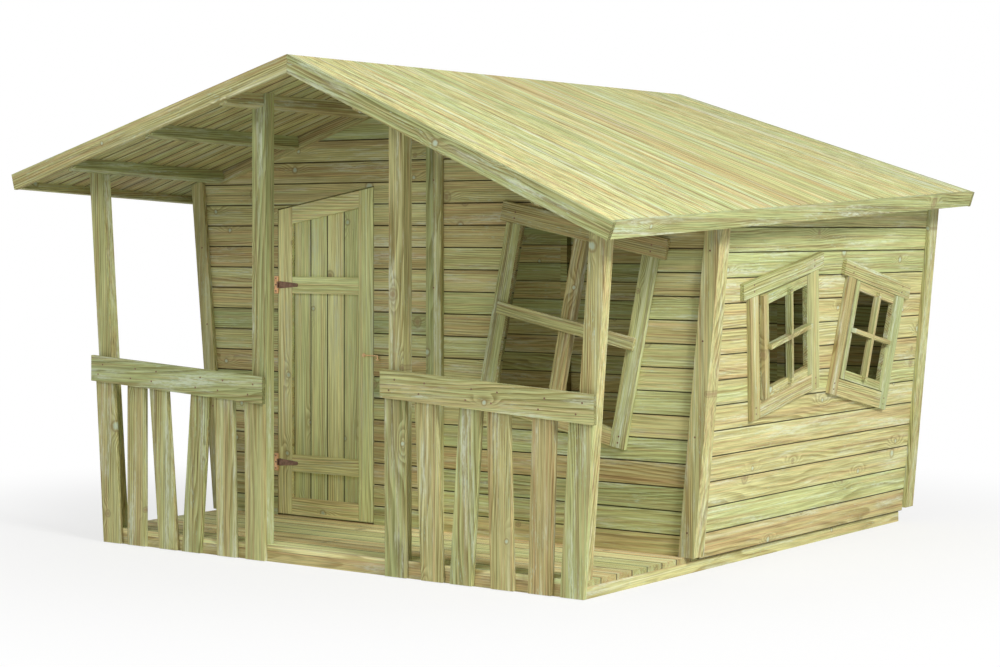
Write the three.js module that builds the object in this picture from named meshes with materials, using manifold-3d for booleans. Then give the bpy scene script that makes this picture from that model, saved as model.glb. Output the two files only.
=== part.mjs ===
// A crooked timber playhouse with a veranda, in millimetres, +Z up, front towards -Y.
// The origin is on the ground, under the middle of the roof.

import * as THREE from 'three';
import { mergeVertices } from 'three/addons/utils/BufferGeometryUtils.js';
import Module from 'manifold-3d';

const wasm = await Module();
wasm.setup();

// Fits
const seatGap = 0.3;
const notchGap = 0.5;
const overrun = 4;
const weld = 0.0001;

// Base and floors
const baseWide = 2112;
const beamHigh = 38;
const beamWide = 38;
const deckThick = 19;
const deckBoardWide = 88;
const deckGrooveWide = 5;
const deckGrooveDeep = 6;
const baseRearInset = 38;
const floorInset = 2;
const verandaDeep = 612;

// Walls: horizontal boards on upright battens
const wallHalfWide = 1075;
const wallLeanDegrees = 5.4;
const gableBoardCover = 80;
const sideBoardCover = 86;
const boardThick = 14;
const boardLap = 11;
const grooveWide = 6;
const grooveDeep = 4;
const battenWide = 34;
const battenDeep = 34;
const trimWide = 60;
const trimSideWide = 66;
const trimThick = 16;
const coverWide = 69;
const coverThick = 16;

// Roof: two slightly twisted slopes, each end of each eave with its own drop below the ridge
const roofLong = 2514;
const frontOverhang = 811;
const rearOverhang = 47;
const ridgeHigh = 1732;
const slopeLong = 1408;
const dropLeftFront = 378;
const dropLeftRear = 506;
const dropRightFront = 563;
const dropRightRear = 434;
const roofThick = 28;
const roofBoardWide = 64;
const roofGrooveWide = 5;
const roofGrooveDeep = 4;
const purlinWide = 38;
const purlinDeep = 40;
const purlinShares = [0.226, 0.494, 0.786];
const rafterThick = 28;
const bargeDeep = 58;
const bargeThick = 16;
const fasciaDeep = 56;
const fasciaThick = 16;

// Veranda posts, rails and pickets
const postWide = 64;
const postDeep = 42;
const postLeanDegrees = 4.3;
const midPostOffset = 306;
const railHigh = 94;
const railThick = 16;
const railTop = 631;
const railFall = 48;
const railLap = 12;
const railOverhang = 7;
const picketApart = 55.6;
const picketThick = 16;
const picketFoot = 2;
const picketTuck = 26;
// From the outer post inwards on the left, and from the middle post outwards on the right.
const leftShiftShares = [0.07, -0.15, 0.06, -0.29, 0.04, -0.05];
const leftSwayShares = [-0.5, 0, -0.63, 0.57, -0.16, -0.08];
const rightShiftShares = [0.1, 0.2, -0.1, 0.14, 0.16, -0.07];
const rightSwayShares = [-0.03, -0.34, 0.5, -0.21, 0.22, 0.43];

// Door
const doorLeft = -766;
const doorWide = 470;
const doorHighLeft = 1162;
const doorHighRight = 1244;
const doorGap = 3;
const doorFootGap = 7;
const doorHeadGap = 5;
const doorStop = 10;
const doorFrameThick = 14;
const doorBoardThick = 14;
const doorBoardCount = 4;
const stileWide = 70;
const doorRailHigh = 64;
const lowRailRise = 164;
const midRailRise = 844;
const doorGrooveWide = 5;
const doorGrooveDeep = 3;

// T-hinges
const barrelRadius = 4;
const pinRadius = 1.6;
const pinFit = 0.3;
const leafThick = 2.5;
const plateWide = 18;
const plateHigh = 66;
const knuckleHigh = 24;
const knuckleFit = 0.5;
const strapLong = 100;
const strapRootHigh = 28;
const strapTipHigh = 13;
const strapNeck = 6;

// Hook and eye
const hookLong = 65;
const hookRadius = 2.3;
const hookRise = 620;
const hookInset = 37;
const hookStand = 9;
const hookTipDrop = 12;
const hookRingRadius = 5.6;
const hookPinRadius = 2.8;
const hookPinHead = 5.5;
const hookPinHeadThick = 2;
const eyeRadius = 5.5;
const eyeWire = 2;
const eyeFit = 0.6;

// Front window: an open frame of boards on the wall, with a mullion and a cross bar
const frontWindowX = 578;
const frontWindowHigh = 819;
const frontWindowTilt = -11.4;
const frontOpenWide = 514;
const frontOpenHigh = 605;
const frontHeadHigh = 71;
const frontSillHigh = 60;
const frontJambWide = 61;
const frontHeadLap = 29;
const frameThick = 16;
const mullionWide = 50;
const crossHigh = 44;
const crossThick = 14;
const crossLap = 33;

// Side windows: a frame of boards on the wall round a hinged sash with glazing bars.
// The two share the wall's length, with bare siding before, between and behind them.
const sidingBefore = 252;
const sidingBetween = 168;
const sidingBehind = 260;
const sideOpenHigh = 374;
const sideHeadHigh = 56;
const sideSillHigh = 62;
const sideJambWide = 58;
const sideHeadLap = 41;
const sashGap = 3;
const sashThick = 18;
const sashWide = 34;
const sashStop = 8;
const barThick = 16;
const barLap = 18;
const barSideLap = 14;
const jointWide = 1.2;
const jointDeep = 3;
const frontSashHigh = 785;
const rearSashHigh = 756;
const sideWindowTilt = 11;
const frontSashAjar = 2.5;

// Facets
const barrelSides = 20;
const wireSides = 8;
const ringSteps = 16;

// Finishes
const wallWood = new THREE.MeshStandardMaterial({ color: 0xb8ad78, roughness: 0.85, metalness: 0 });
const roofWood = new THREE.MeshStandardMaterial({ color: 0xd2c795, roughness: 0.85, metalness: 0 });
const trimWood = new THREE.MeshStandardMaterial({ color: 0xbdb987, roughness: 0.85, metalness: 0 });
const deckWood = new THREE.MeshStandardMaterial({ color: 0xb3a67a, roughness: 0.9, metalness: 0 });
const doorWood = new THREE.MeshStandardMaterial({ color: 0xa9a26c, roughness: 0.85, metalness: 0 });
const copper = new THREE.MeshStandardMaterial({ color: 0xa5653f, roughness: 0.4, metalness: 0.9 });

// Worked-out levels and planes
const deckTop = beamHigh + deckThick;
const sidingLow = deckTop - boardLap;
const wallThick = boardThick + battenDeep;
const wallFront = frontOverhang - roofLong / 2;
const wallRear = roofLong / 2 - rearOverhang;
const deckFront = wallFront - verandaDeep;
const deckSplit = wallFront + wallThick / 2;
const baseRear = wallRear - baseRearInset;
const sideWindowOuter = (wallRear - wallFront - sidingBefore - sidingBetween - sidingBehind) / 2;
const sideOpenWide = sideWindowOuter - 2 * sideJambWide;
const wallSlant = Math.tan(THREE.MathUtils.degToRad(wallLeanDegrees));
const postSlant = Math.tan(THREE.MathUtils.degToRad(postLeanDegrees));
const roofFrontEnd = -roofLong / 2 + bargeThick + seatGap;
const roofRearEnd = -roofFrontEnd;
const doorLow = deckTop + doorFootGap;
const hingeY = wallFront - barrelRadius - seatGap;

const playhouse = new THREE.Group();

function signedVolume(vertices, triangles) {
  const corners = [new THREE.Vector3(), new THREE.Vector3(), new THREE.Vector3()];
  let total = 0;
  for (let i = 0; i < triangles.length; i += 3) {
    corners.forEach((corner, j) => corner.fromArray(vertices, 3 * triangles[i + j]));
    total += corners[0].dot(corners[1].clone().cross(corners[2])) / 6;
  }
  return total;
}

// Turns a closed geometry into a solid that can be joined and cut.
function toSolid(geometry, matrix) {
  const bare = geometry.clone();
  bare.deleteAttribute('normal');
  bare.deleteAttribute('uv');
  if (matrix) bare.applyMatrix4(matrix);
  const merged = mergeVertices(bare, weld);
  const vertProperties = merged.attributes.position.array;
  const triVerts = Uint32Array.from(merged.index.array);
  if (signedVolume(vertProperties, triVerts) < 0) triVerts.reverse();
  return new wasm.Manifold(new wasm.Mesh({ numProp: 3, vertProperties, triVerts }));
}

function toMesh(name, solid, material) {
  const { vertProperties, triVerts } = solid.getMesh();
  const geometry = new THREE.BufferGeometry();
  geometry.setAttribute('position', new THREE.BufferAttribute(Float32Array.from(vertProperties), 3));
  geometry.setIndex(new THREE.BufferAttribute(Uint32Array.from(triVerts), 1));
  geometry.computeVertexNormals();
  const mesh = new THREE.Mesh(geometry, material);
  mesh.name = name;
  return mesh;
}

function add(name, solid, material, parent = playhouse) {
  parent.add(toMesh(name, solid, material));
}

// A closed geometry through several placings of one outline.
function loft(outline, ...places) {
  const points = THREE.ShapeUtils.isClockWise(outline) ? [...outline].reverse() : outline;
  const count = points.length;
  const last = (places.length - 1) * count;
  const index = [];
  for (const [a, b, c] of THREE.ShapeUtils.triangulateShape(points, [])) {
    index.push(c, b, a, last + a, last + b, last + c);
  }
  for (let start = 0; start < last; start += count) {
    points.forEach((point, i) => {
      const here = start + i;
      const next = start + ((i + 1) % count);
      index.push(here, next, count + next, here, count + next, count + here);
    });
  }
  const corners = places.flatMap((place) => points.map(place));
  const geometry = new THREE.BufferGeometry().setFromPoints(corners);
  geometry.setIndex(index);
  return geometry;
}

function rectangle(lowA, highA, lowB, highB) {
  return [
    new THREE.Vector2(lowA, lowB),
    new THREE.Vector2(highA, lowB),
    new THREE.Vector2(highA, highB),
    new THREE.Vector2(lowA, highB),
  ];
}

function block(lowX, highX, lowY, highY, lowZ, highZ) {
  const geometry = new THREE.BoxGeometry(highX - lowX, highY - lowY, highZ - lowZ);
  geometry.translate((lowX + highX) / 2, (lowY + highY) / 2, (lowZ + highZ) / 2);
  return geometry;
}

// An outline drawn on an upright plane across the front, from one depth to another.
function uprightPlate(outline, nearY, farY) {
  return loft(
    outline,
    (point) => new THREE.Vector3(point.x, nearY, point.y),
    (point) => new THREE.Vector3(point.x, farY, point.y),
  );
}

function rodBetween(start, end, radius, sides) {
  const span = end.clone().sub(start);
  const geometry = new THREE.CylinderGeometry(radius, radius, span.length(), sides);
  const turn = new THREE.Quaternion().setFromUnitVectors(
    new THREE.Vector3(0, 1, 0),
    span.clone().normalize(),
  );
  geometry.applyQuaternion(turn);
  const middle = start.clone().add(end).divideScalar(2);
  geometry.translate(middle.x, middle.y, middle.z);
  return geometry;
}

// A line of boards seen from their end: a flat strip with a V cut into its face at every joint.
function boardStrip(low, high, joints, face, back, wide, deep) {
  const outline = [];
  outline.push(new THREE.Vector2(low, face));
  for (const joint of joints) {
    outline.push(new THREE.Vector2(joint - wide / 2, face));
    outline.push(new THREE.Vector2(joint, face + Math.sign(back - face) * deep));
    outline.push(new THREE.Vector2(joint + wide / 2, face));
  }
  outline.push(new THREE.Vector2(high, face));
  outline.push(new THREE.Vector2(high, back));
  outline.push(new THREE.Vector2(low, back));
  return outline;
}

function jointsBetween(low, high, start, pitch, margin) {
  const joints = [];
  for (let place = start; place < high - margin; place += pitch) {
    if (place > low + margin) joints.push(place);
  }
  return joints;
}

function evenJoints(low, high, wanted) {
  const count = Math.round((high - low) / wanted);
  const pitch = (high - low) / count;
  return Array.from({ length: count - 1 }, (_, i) => low + (i + 1) * pitch);
}

// Slopes. A point of a slope is a distance down from the ridge and a depth below the surface.

function slopeAt(side, y) {
  const share = y / roofLong + 1 / 2;
  const front = side < 0 ? dropLeftFront : dropRightFront;
  const rear = side < 0 ? dropLeftRear : dropRightRear;
  const frontReach = Math.sqrt(slopeLong ** 2 - front ** 2);
  const rearReach = Math.sqrt(slopeLong ** 2 - rear ** 2);
  const drop = THREE.MathUtils.lerp(front, rear, share);
  const reach = THREE.MathUtils.lerp(frontReach, rearReach, share);
  return { drop, reach, long: Math.hypot(drop, reach) };
}

function roofPoint(side, y, along, depth) {
  const { drop, reach, long } = slopeAt(side, y);
  const share = along / slopeLong;
  const ridgeZ = ridgeHigh - (depth * long) / reach;
  const eaveX = reach - (depth * drop) / long;
  const eaveZ = ridgeHigh - drop - (depth * reach) / long;
  return new THREE.Vector3(side * eaveX * share, y, THREE.MathUtils.lerp(ridgeZ, eaveZ, share));
}

// An outline of distance down the slope and depth, run through places from front to rear.
function alongRoof(side, outline, stations) {
  const places = stations.map((y) => (point) => roofPoint(side, y, point.x, point.y));
  return loft(outline, ...places);
}

// An outline of front-to-rear place and depth, run down the slope.
function downRoof(side, outline, nearAlong, farAlong) {
  return loft(
    outline,
    (point) => roofPoint(side, point.x, nearAlong, point.y),
    (point) => roofPoint(side, point.x, farAlong, point.y),
  );
}

const roofJoints = evenJoints(roofFrontEnd, roofRearEnd, roofBoardWide);
const roofStations = [roofFrontEnd, ...roofJoints, roofRearEnd];

function purlinOutline(share, slack) {
  const middle = share * slopeLong;
  const half = purlinWide / 2 + slack;
  return rectangle(middle - half, middle + half, 0, roofThick + purlinDeep + slack);
}

// Everything above the underside of the boards, and the seat under it.
function aboveSeat(side) {
  const outline = rectangle(-overrun, slopeLong + overrun, -ridgeHigh, roofThick + seatGap);
  return alongRoof(side, outline, roofStations);
}

// What walls, posts and trims must leave free for the roof.
function roofRoom() {
  const room = [];
  for (const side of [-1, 1]) {
    room.push(aboveSeat(side));
    for (const share of purlinShares) {
      room.push(alongRoof(side, purlinOutline(share, notchGap), roofStations));
    }
  }
  return room;
}

const roomForRoof = roofRoom();

function cutToRoof(solid, matrix) {
  return roomForRoof.reduce((left, room) => left.subtract(toSolid(room, matrix)), solid);
}

// Boards side by side down the slope, each with its lower edges bevelled.
function roofPanel(side) {
  const eaveEnd = slopeLong - fasciaThick - seatGap;
  const inset = roofGrooveWide / 2;
  const edge = roofThick - roofGrooveDeep;
  const boards = roofStations.slice(1).map((far, i) => {
    const near = roofStations[i];
    const outline = [
      new THREE.Vector2(near, 0),
      new THREE.Vector2(far, 0),
      new THREE.Vector2(far, edge),
      new THREE.Vector2(far - inset, roofThick),
      new THREE.Vector2(near + inset, roofThick),
      new THREE.Vector2(near, edge),
    ];
    return toSolid(downRoof(side, outline, seatGap, eaveEnd));
  });
  return boards.reduce((panel, board) => panel.add(board));
}

// Purlins along the slope, tied by a rafter against the front wall.
function roofFrame(side) {
  const back = wallFront - seatGap;
  const from = purlinShares[0] * slopeLong;
  const to = purlinShares[purlinShares.length - 1] * slopeLong;
  const rafter = rectangle(back - rafterThick, back, 0, roofThick + purlinDeep - seatGap);
  return purlinShares.reduce(
    (frame, share) => frame.add(toSolid(alongRoof(side, purlinOutline(share, 0), roofStations))),
    toSolid(downRoof(side, rafter, from, to)),
  ).subtract(toSolid(aboveSeat(side)));
}

function bargeBoard(side, end) {
  const outline = rectangle(seatGap, slopeLong, 0, bargeDeep);
  const face = (end * roofLong) / 2;
  return toSolid(alongRoof(side, outline, [face, face - end * bargeThick]));
}

function fascia(side) {
  const outline = rectangle(slopeLong - fasciaThick, slopeLong, 0, fasciaDeep);
  return toSolid(alongRoof(side, outline, roofStations));
}

function addRoof() {
  for (const [side, hand] of [[-1, 'left'], [1, 'right']]) {
    add(`roof_panel_${hand}`, roofPanel(side), roofWood);
    add(`roof_frame_${hand}`, roofFrame(side), trimWood);
    add(`barge_front_${hand}`, bargeBoard(side, -1), trimWood);
    add(`barge_rear_${hand}`, bargeBoard(side, 1), trimWood);
    add(`fascia_${hand}`, fascia(side), trimWood);
  }
}

// Base and floors

function floorBoards(lowY, highY, half) {
  const joints = evenJoints(lowY, highY, deckBoardWide);
  const bottom = beamHigh + seatGap;
  const outline = boardStrip(lowY, highY, joints, deckTop, bottom, deckGrooveWide, deckGrooveDeep);
  return toSolid(loft(
    outline,
    (point) => new THREE.Vector3(-half, point.x, point.y),
    (point) => new THREE.Vector3(half, point.x, point.y),
  ));
}

function addBase() {
  const outer = baseWide / 2;
  const inner = outer - beamWide;
  const innerFront = deckFront + beamWide + seatGap;
  const innerRear = baseRear - beamWide - seatGap;
  for (const [side, hand] of [[-1, 'left'], [1, 'right']]) {
    const low = Math.min(side * outer, side * inner);
    const beam = block(low, low + beamWide, deckFront, baseRear, 0, beamHigh);
    add(`base_side_beam_${hand}`, toSolid(beam), deckWood);
  }
  const across = inner - seatGap;
  const frontBeam = block(-across, across, deckFront, deckFront + beamWide, 0, beamHigh);
  add('base_front_beam', toSolid(frontBeam), deckWood);
  const rearBeam = block(-across, across, baseRear - beamWide, baseRear, 0, beamHigh);
  add('base_rear_beam', toSolid(rearBeam), deckWood);
  const joist = block(-beamWide / 2, beamWide / 2, innerFront, innerRear, 0, beamHigh);
  add('base_middle_joist', toSolid(joist), deckWood);
  add('veranda_deck', floorBoards(deckFront, deckSplit - seatGap, outer), deckWood);
  add('house_floor', floorBoards(deckSplit, baseRear, outer - floorInset), deckWood);
}

// Walls. Each stands in a group whose x runs along the wall, y up it and z out of it.

function wallGroup(run, rise, place) {
  const group = new THREE.Group();
  const out = run.clone().cross(rise);
  group.quaternion.setFromRotationMatrix(new THREE.Matrix4().makeBasis(run, rise, out));
  group.position.copy(place);
  playhouse.add(group);
  group.updateWorldMatrix(true, false);
  return group;
}

function leaningWallGroup(side) {
  const lean = THREE.MathUtils.degToRad(wallLeanDegrees);
  const run = new THREE.Vector3(0, side, 0);
  const rise = new THREE.Vector3(side * Math.sin(lean), 0, Math.cos(lean));
  const foot = new THREE.Vector3(side * (wallHalfWide - wallSlant * sidingLow), 0, 0);
  return wallGroup(run, rise, foot);
}

const frontWall = wallGroup(
  new THREE.Vector3(1, 0, 0),
  new THREE.Vector3(0, 0, 1),
  new THREE.Vector3(0, wallFront, 0),
);
const rearWall = wallGroup(
  new THREE.Vector3(-1, 0, 0),
  new THREE.Vector3(0, 0, 1),
  new THREE.Vector3(0, wallRear, 0),
);
const leftWall = leaningWallGroup(-1);
const rightWall = leaningWallGroup(1);

function wallBoards(from, to, low, cover) {
  const joints = jointsBetween(low, ridgeHigh, sidingLow, cover, grooveWide);
  const outline = boardStrip(low, ridgeHigh, joints, 0, -boardThick, grooveWide, grooveDeep);
  return toSolid(loft(
    outline,
    (point) => new THREE.Vector3(from, point.x, point.y),
    (point) => new THREE.Vector3(to, point.x, point.y),
  ));
}

function batten(from, to) {
  return toSolid(block(from, to, deckTop + seatGap, ridgeHigh, -wallThick, -boardThick));
}

function footBatten(from, to) {
  const low = deckTop + seatGap;
  return toSolid(block(from, to, low, low + battenWide, -wallThick, -boardThick));
}

function wallEdge(high) {
  return wallHalfWide + wallSlant * (high - sidingLow);
}

// The part of a gable wall between its upright middle and one leaning edge.
function gableShape(side) {
  const low = deckTop;
  const outline = [
    new THREE.Vector2(side * seatGap / 2, low),
    new THREE.Vector2(side * wallEdge(low), low),
    new THREE.Vector2(side * wallEdge(ridgeHigh), ridgeHigh),
    new THREE.Vector2(side * seatGap / 2, ridgeHigh),
  ];
  return loft(
    outline,
    (point) => new THREE.Vector3(point.x, point.y, -wallThick - overrun),
    (point) => new THREE.Vector3(point.x, point.y, overrun),
  );
}

function edgeBatten(side) {
  const low = deckTop + seatGap;
  const outline = [
    new THREE.Vector2(side * (wallEdge(low) - wallThick), low),
    new THREE.Vector2(side * wallEdge(low), low),
    new THREE.Vector2(side * wallEdge(ridgeHigh), ridgeHigh),
    new THREE.Vector2(side * (wallEdge(ridgeHigh) - wallThick), ridgeHigh),
  ];
  return toSolid(loft(
    outline,
    (point) => new THREE.Vector3(point.x, point.y, -wallThick),
    (point) => new THREE.Vector3(point.x, point.y, -boardThick),
  ));
}

function gablePanel(group, side, battens) {
  const far = side * (wallEdge(ridgeHigh) + overrun);
  let panel = wallBoards(0, far, deckTop + seatGap, gableBoardCover);
  panel = panel.add(footBatten(Math.min(0, far), Math.max(0, far)));
  for (const middle of battens) {
    panel = panel.add(batten(middle - battenWide / 2, middle + battenWide / 2));
  }
  panel = panel.intersect(toSolid(gableShape(side)));
  panel = panel.add(edgeBatten(side));
  return cutToRoof(panel, group.matrixWorld.clone().invert());
}

function leaningPanel(group, side) {
  const front = wallFront + wallThick + seatGap;
  const rear = wallRear - wallThick - seatGap;
  const from = Math.min(side * front, side * rear);
  const to = Math.max(side * front, side * rear);
  let panel = wallBoards(from, to, sidingLow, sideBoardCover);
  panel = panel.add(footBatten(from, to));
  panel = panel.add(batten(from, from + battenWide));
  panel = panel.add(batten((from + to - battenWide) / 2, (from + to + battenWide) / 2));
  panel = panel.add(batten(to - battenWide, to));
  return cutToRoof(panel, group.matrixWorld.clone().invert());
}

function doorTop(x, rise) {
  const share = (x - doorLeft) / doorWide;
  return doorLow + THREE.MathUtils.lerp(doorHighLeft, doorHighRight, share) + rise;
}

// The doorway is as deep as the leaf, and narrower behind it so that the leaf has a stop.
function doorway(inset, near, far) {
  const left = doorLeft - doorGap + inset;
  const right = doorLeft + doorWide + doorGap - inset;
  const outline = [
    new THREE.Vector2(left, deckTop - overrun),
    new THREE.Vector2(right, deckTop - overrun),
    new THREE.Vector2(right, doorTop(right, doorHeadGap - inset)),
    new THREE.Vector2(left, doorTop(left, doorHeadGap - inset)),
  ];
  return toSolid(loft(
    outline,
    (point) => new THREE.Vector3(point.x, point.y, near),
    (point) => new THREE.Vector3(point.x, point.y, far),
  ));
}

function windowGroup(wall, along, high, tilt) {
  const group = new THREE.Group();
  group.position.set(along, high, 0);
  group.rotation.z = THREE.MathUtils.degToRad(tilt);
  wall.add(group);
  group.updateWorldMatrix(true, false);
  return group;
}

// A through cut in a wall, in the window's own tilted frame.
function windowCut(group, wide, low, high) {
  const hole = block(-wide / 2, wide / 2, low, high, -wallThick - overrun, overrun);
  group.updateMatrix();
  return toSolid(hole, group.matrix);
}

const frontSashAlong = wallFront + sidingBefore + sideWindowOuter / 2;
const rearSashAlong = wallRear - sidingBehind - sideWindowOuter / 2;
const frontWindow = windowGroup(frontWall, frontWindowX, frontWindowHigh, frontWindowTilt);
const sideWindows = [
  {
    name: 'front',
    hingeSide: 1,
    ajar: frontSashAjar,
    group: windowGroup(rightWall, frontSashAlong, frontSashHigh, sideWindowTilt),
  },
  {
    name: 'rear',
    hingeSide: -1,
    ajar: 0,
    group: windowGroup(rightWall, rearSashAlong, rearSashHigh, -sideWindowTilt),
  },
];

function addWalls() {
  const inset = battenWide / 2;
  const jambLeft = doorLeft - doorGap - inset;
  const jambRight = doorLeft + doorWide + doorGap + inset;
  const leafDeep = doorFrameThick + doorBoardThick + seatGap;
  let left = gablePanel(frontWall, -1, [-inset, jambRight + doorStop, jambLeft - doorStop]);
  left = left.add(toSolid(block(
    jambLeft - inset,
    jambLeft + inset + doorStop,
    deckTop + seatGap,
    doorTop(doorLeft, 0),
    -wallThick,
    -boardThick,
  )));
  left = left.add(toSolid(block(
    jambRight - inset - doorStop,
    jambRight + inset,
    deckTop + seatGap,
    doorTop(doorLeft, 0),
    -wallThick,
    -boardThick,
  )));
  left = left.subtract(doorway(0, -leafDeep, overrun));
  left = left.subtract(doorway(doorStop, -wallThick - overrun, -leafDeep + overrun));
  add('front_wall_left', left, wallWood, frontWall);

  const reach = frontOpenWide / 2 + battenWide + frontJambWide;
  const spots = [inset, frontWindowX - reach, frontWindowX + reach];
  let right = gablePanel(frontWall, 1, spots);
  const half = frontOpenHigh / 2;
  right = right.subtract(windowCut(frontWindow, frontOpenWide, -half, half));
  add('front_wall_right', right, wallWood, frontWall);

  const rear = gablePanel(rearWall, -1, [-inset - seatGap, -wallHalfWide / 2])
    .add(gablePanel(rearWall, 1, [inset + seatGap, wallHalfWide / 2]))
    .add(toSolid(block(
      -battenWide,
      battenWide,
      deckTop + seatGap,
      ridgeHigh - 3 * roofThick,
      -wallThick,
      -2 * grooveDeep,
    )));
  add('rear_wall', rear, wallWood, rearWall);

  add('left_wall', leaningPanel(leftWall, -1), wallWood, leftWall);
  let side = leaningPanel(rightWall, 1);
  for (const { group } of sideWindows) {
    const wide = sideOpenWide - 2 * (sashGap + sashStop);
    const low = -sideOpenHigh / 2 + sashGap + sashStop;
    const high = sideOpenHigh / 2 - sashGap - sashStop;
    side = side.subtract(windowCut(group, wide, low, high));
  }
  add('right_wall', side, wallWood, rightWall);
}

// Corner trims: two boards meeting in an L, leaning with the side walls.
function cornerTrim(side, end) {
  const outline = [
    new THREE.Vector2(0, 0),
    new THREE.Vector2(trimWide, 0),
    new THREE.Vector2(trimWide, trimThick),
    new THREE.Vector2(trimThick, trimThick),
    new THREE.Vector2(trimThick, trimSideWide),
    new THREE.Vector2(0, trimSideWide),
  ];
  const face = end < 0 ? wallFront - seatGap - trimThick : wallRear + seatGap + trimThick;
  const place = (high) => (point) => new THREE.Vector3(
    side * (wallEdge(high) + seatGap + trimThick - point.x),
    face - end * point.y,
    high,
  );
  return cutToRoof(toSolid(loft(outline, place(deckTop + seatGap), place(ridgeHigh))));
}

function addTrims() {
  for (const [side, hand] of [[-1, 'left'], [1, 'right']]) {
    add(`corner_trim_front_${hand}`, cornerTrim(side, -1), trimWood);
    add(`corner_trim_rear_${hand}`, cornerTrim(side, 1), trimWood);
  }
  const outline = rectangle(-coverWide / 2, coverWide / 2, deckTop + seatGap, ridgeHigh);
  const cover = uprightPlate(outline, wallFront - seatGap - coverThick, wallFront - seatGap);
  add('front_cover_batten', cutToRoof(toSolid(cover)), trimWood);
}

// Veranda

function outerPost(side) {
  const low = deckTop + seatGap;
  const edge = (high) => baseWide / 2 + postSlant * (high - deckTop);
  const outline = [
    new THREE.Vector2(side * (edge(low) - postWide), low),
    new THREE.Vector2(side * edge(low), low),
    new THREE.Vector2(side * edge(ridgeHigh), ridgeHigh),
    new THREE.Vector2(side * (edge(ridgeHigh) - postWide), ridgeHigh),
  ];
  return cutToRoof(toSolid(uprightPlate(outline, deckFront, deckFront + postDeep)));
}

function middlePost(side) {
  const middle = side * midPostOffset;
  const half = postWide / 2;
  const outline = rectangle(middle - half, middle + half, deckTop + seatGap, ridgeHigh);
  return cutToRoof(toSolid(uprightPlate(outline, deckFront, deckFront + postDeep)));
}

const railOuterEnd = baseWide / 2 + postSlant * railTop + railOverhang;
const railInnerEnd = midPostOffset - postWide / 2 - railLap;
const outerPostMiddle = baseWide / 2 - postWide / 2;
const picketPitch = (outerPostMiddle - midPostOffset) / (leftShiftShares.length - 1);
const picketWide = picketPitch - picketApart;

// The top edge of a rail falls from its left end to its right end.
function railTopAt(side, x) {
  const left = side < 0 ? -railOuterEnd : railInnerEnd;
  const share = (x - left) / (railOuterEnd - railInnerEnd);
  return deckTop + railTop - railFall * share;
}

function handRail(side) {
  const left = side < 0 ? -railOuterEnd : railInnerEnd;
  const right = left + railOuterEnd - railInnerEnd;
  const outline = [
    new THREE.Vector2(left, railTopAt(side, left) - railHigh),
    new THREE.Vector2(right, railTopAt(side, right) - railHigh),
    new THREE.Vector2(right, railTopAt(side, right)),
    new THREE.Vector2(left, railTopAt(side, left)),
  ];
  const back = deckFront - picketThick - 2 * seatGap;
  return toSolid(uprightPlate(outline, back - railThick, back));
}

function picket(side, foot, sway) {
  const half = picketWide / 2;
  const head = foot + sway;
  const outline = [
    new THREE.Vector2(foot - half, picketFoot),
    new THREE.Vector2(foot + half, picketFoot),
    new THREE.Vector2(head + half, railTopAt(side, head + half) - picketTuck),
    new THREE.Vector2(head - half, railTopAt(side, head - half) - picketTuck),
  ];
  const back = deckFront - seatGap;
  return toSolid(uprightPlate(outline, back - picketThick, back));
}

function addVeranda() {
  const tables = [
    { side: -1, hand: 'left', from: -outerPostMiddle, shifts: leftShiftShares, sways: leftSwayShares },
    { side: 1, hand: 'right', from: midPostOffset, shifts: rightShiftShares, sways: rightSwayShares },
  ];
  for (const { side, hand, from, shifts, sways } of tables) {
    add(`outer_post_${hand}`, outerPost(side), trimWood);
    add(`middle_post_${hand}`, middlePost(side), trimWood);
    add(`hand_rail_${hand}`, handRail(side), trimWood);
    shifts.forEach((shift, i) => {
      const foot = from + i * picketPitch + shift * picketWide;
      add(`picket_${hand}_${i + 1}`, picket(side, foot, sways[i] * picketWide), trimWood);
    });
  }
}

// Door. Its group stands on the hinge line, at the foot of the leaf.

const door = new THREE.Group();
door.position.set(doorLeft, hingeY, doorLow);
playhouse.add(door);

const leafFace = wallFront - hingeY;

function leafTop(x, inset) {
  return THREE.MathUtils.lerp(doorHighLeft, doorHighRight, x / doorWide) - inset;
}

function leafOutline(left, right, low, inset) {
  return [
    new THREE.Vector2(left, low),
    new THREE.Vector2(right, low),
    new THREE.Vector2(right, leafTop(right, inset)),
    new THREE.Vector2(left, leafTop(left, inset)),
  ];
}

function doorBoards() {
  const near = leafFace + doorFrameThick + seatGap;
  const far = near + doorBoardThick - seatGap;
  const inner = doorWide - 2 * stileWide;
  const joints = Array.from(
    { length: doorBoardCount + 1 },
    (_, i) => stileWide + (i * inner) / doorBoardCount,
  );
  const outline = boardStrip(0, doorWide, joints, near, far, doorGrooveWide, doorGrooveDeep);
  const strip = toSolid(loft(
    outline,
    (point) => new THREE.Vector3(point.x, point.y, 0),
    (point) => new THREE.Vector3(point.x, point.y, doorHighRight + overrun),
  ));
  const shape = uprightPlate(leafOutline(0, doorWide, 0, 0), near - overrun, far + overrun);
  return strip.intersect(toSolid(shape));
}

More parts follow.
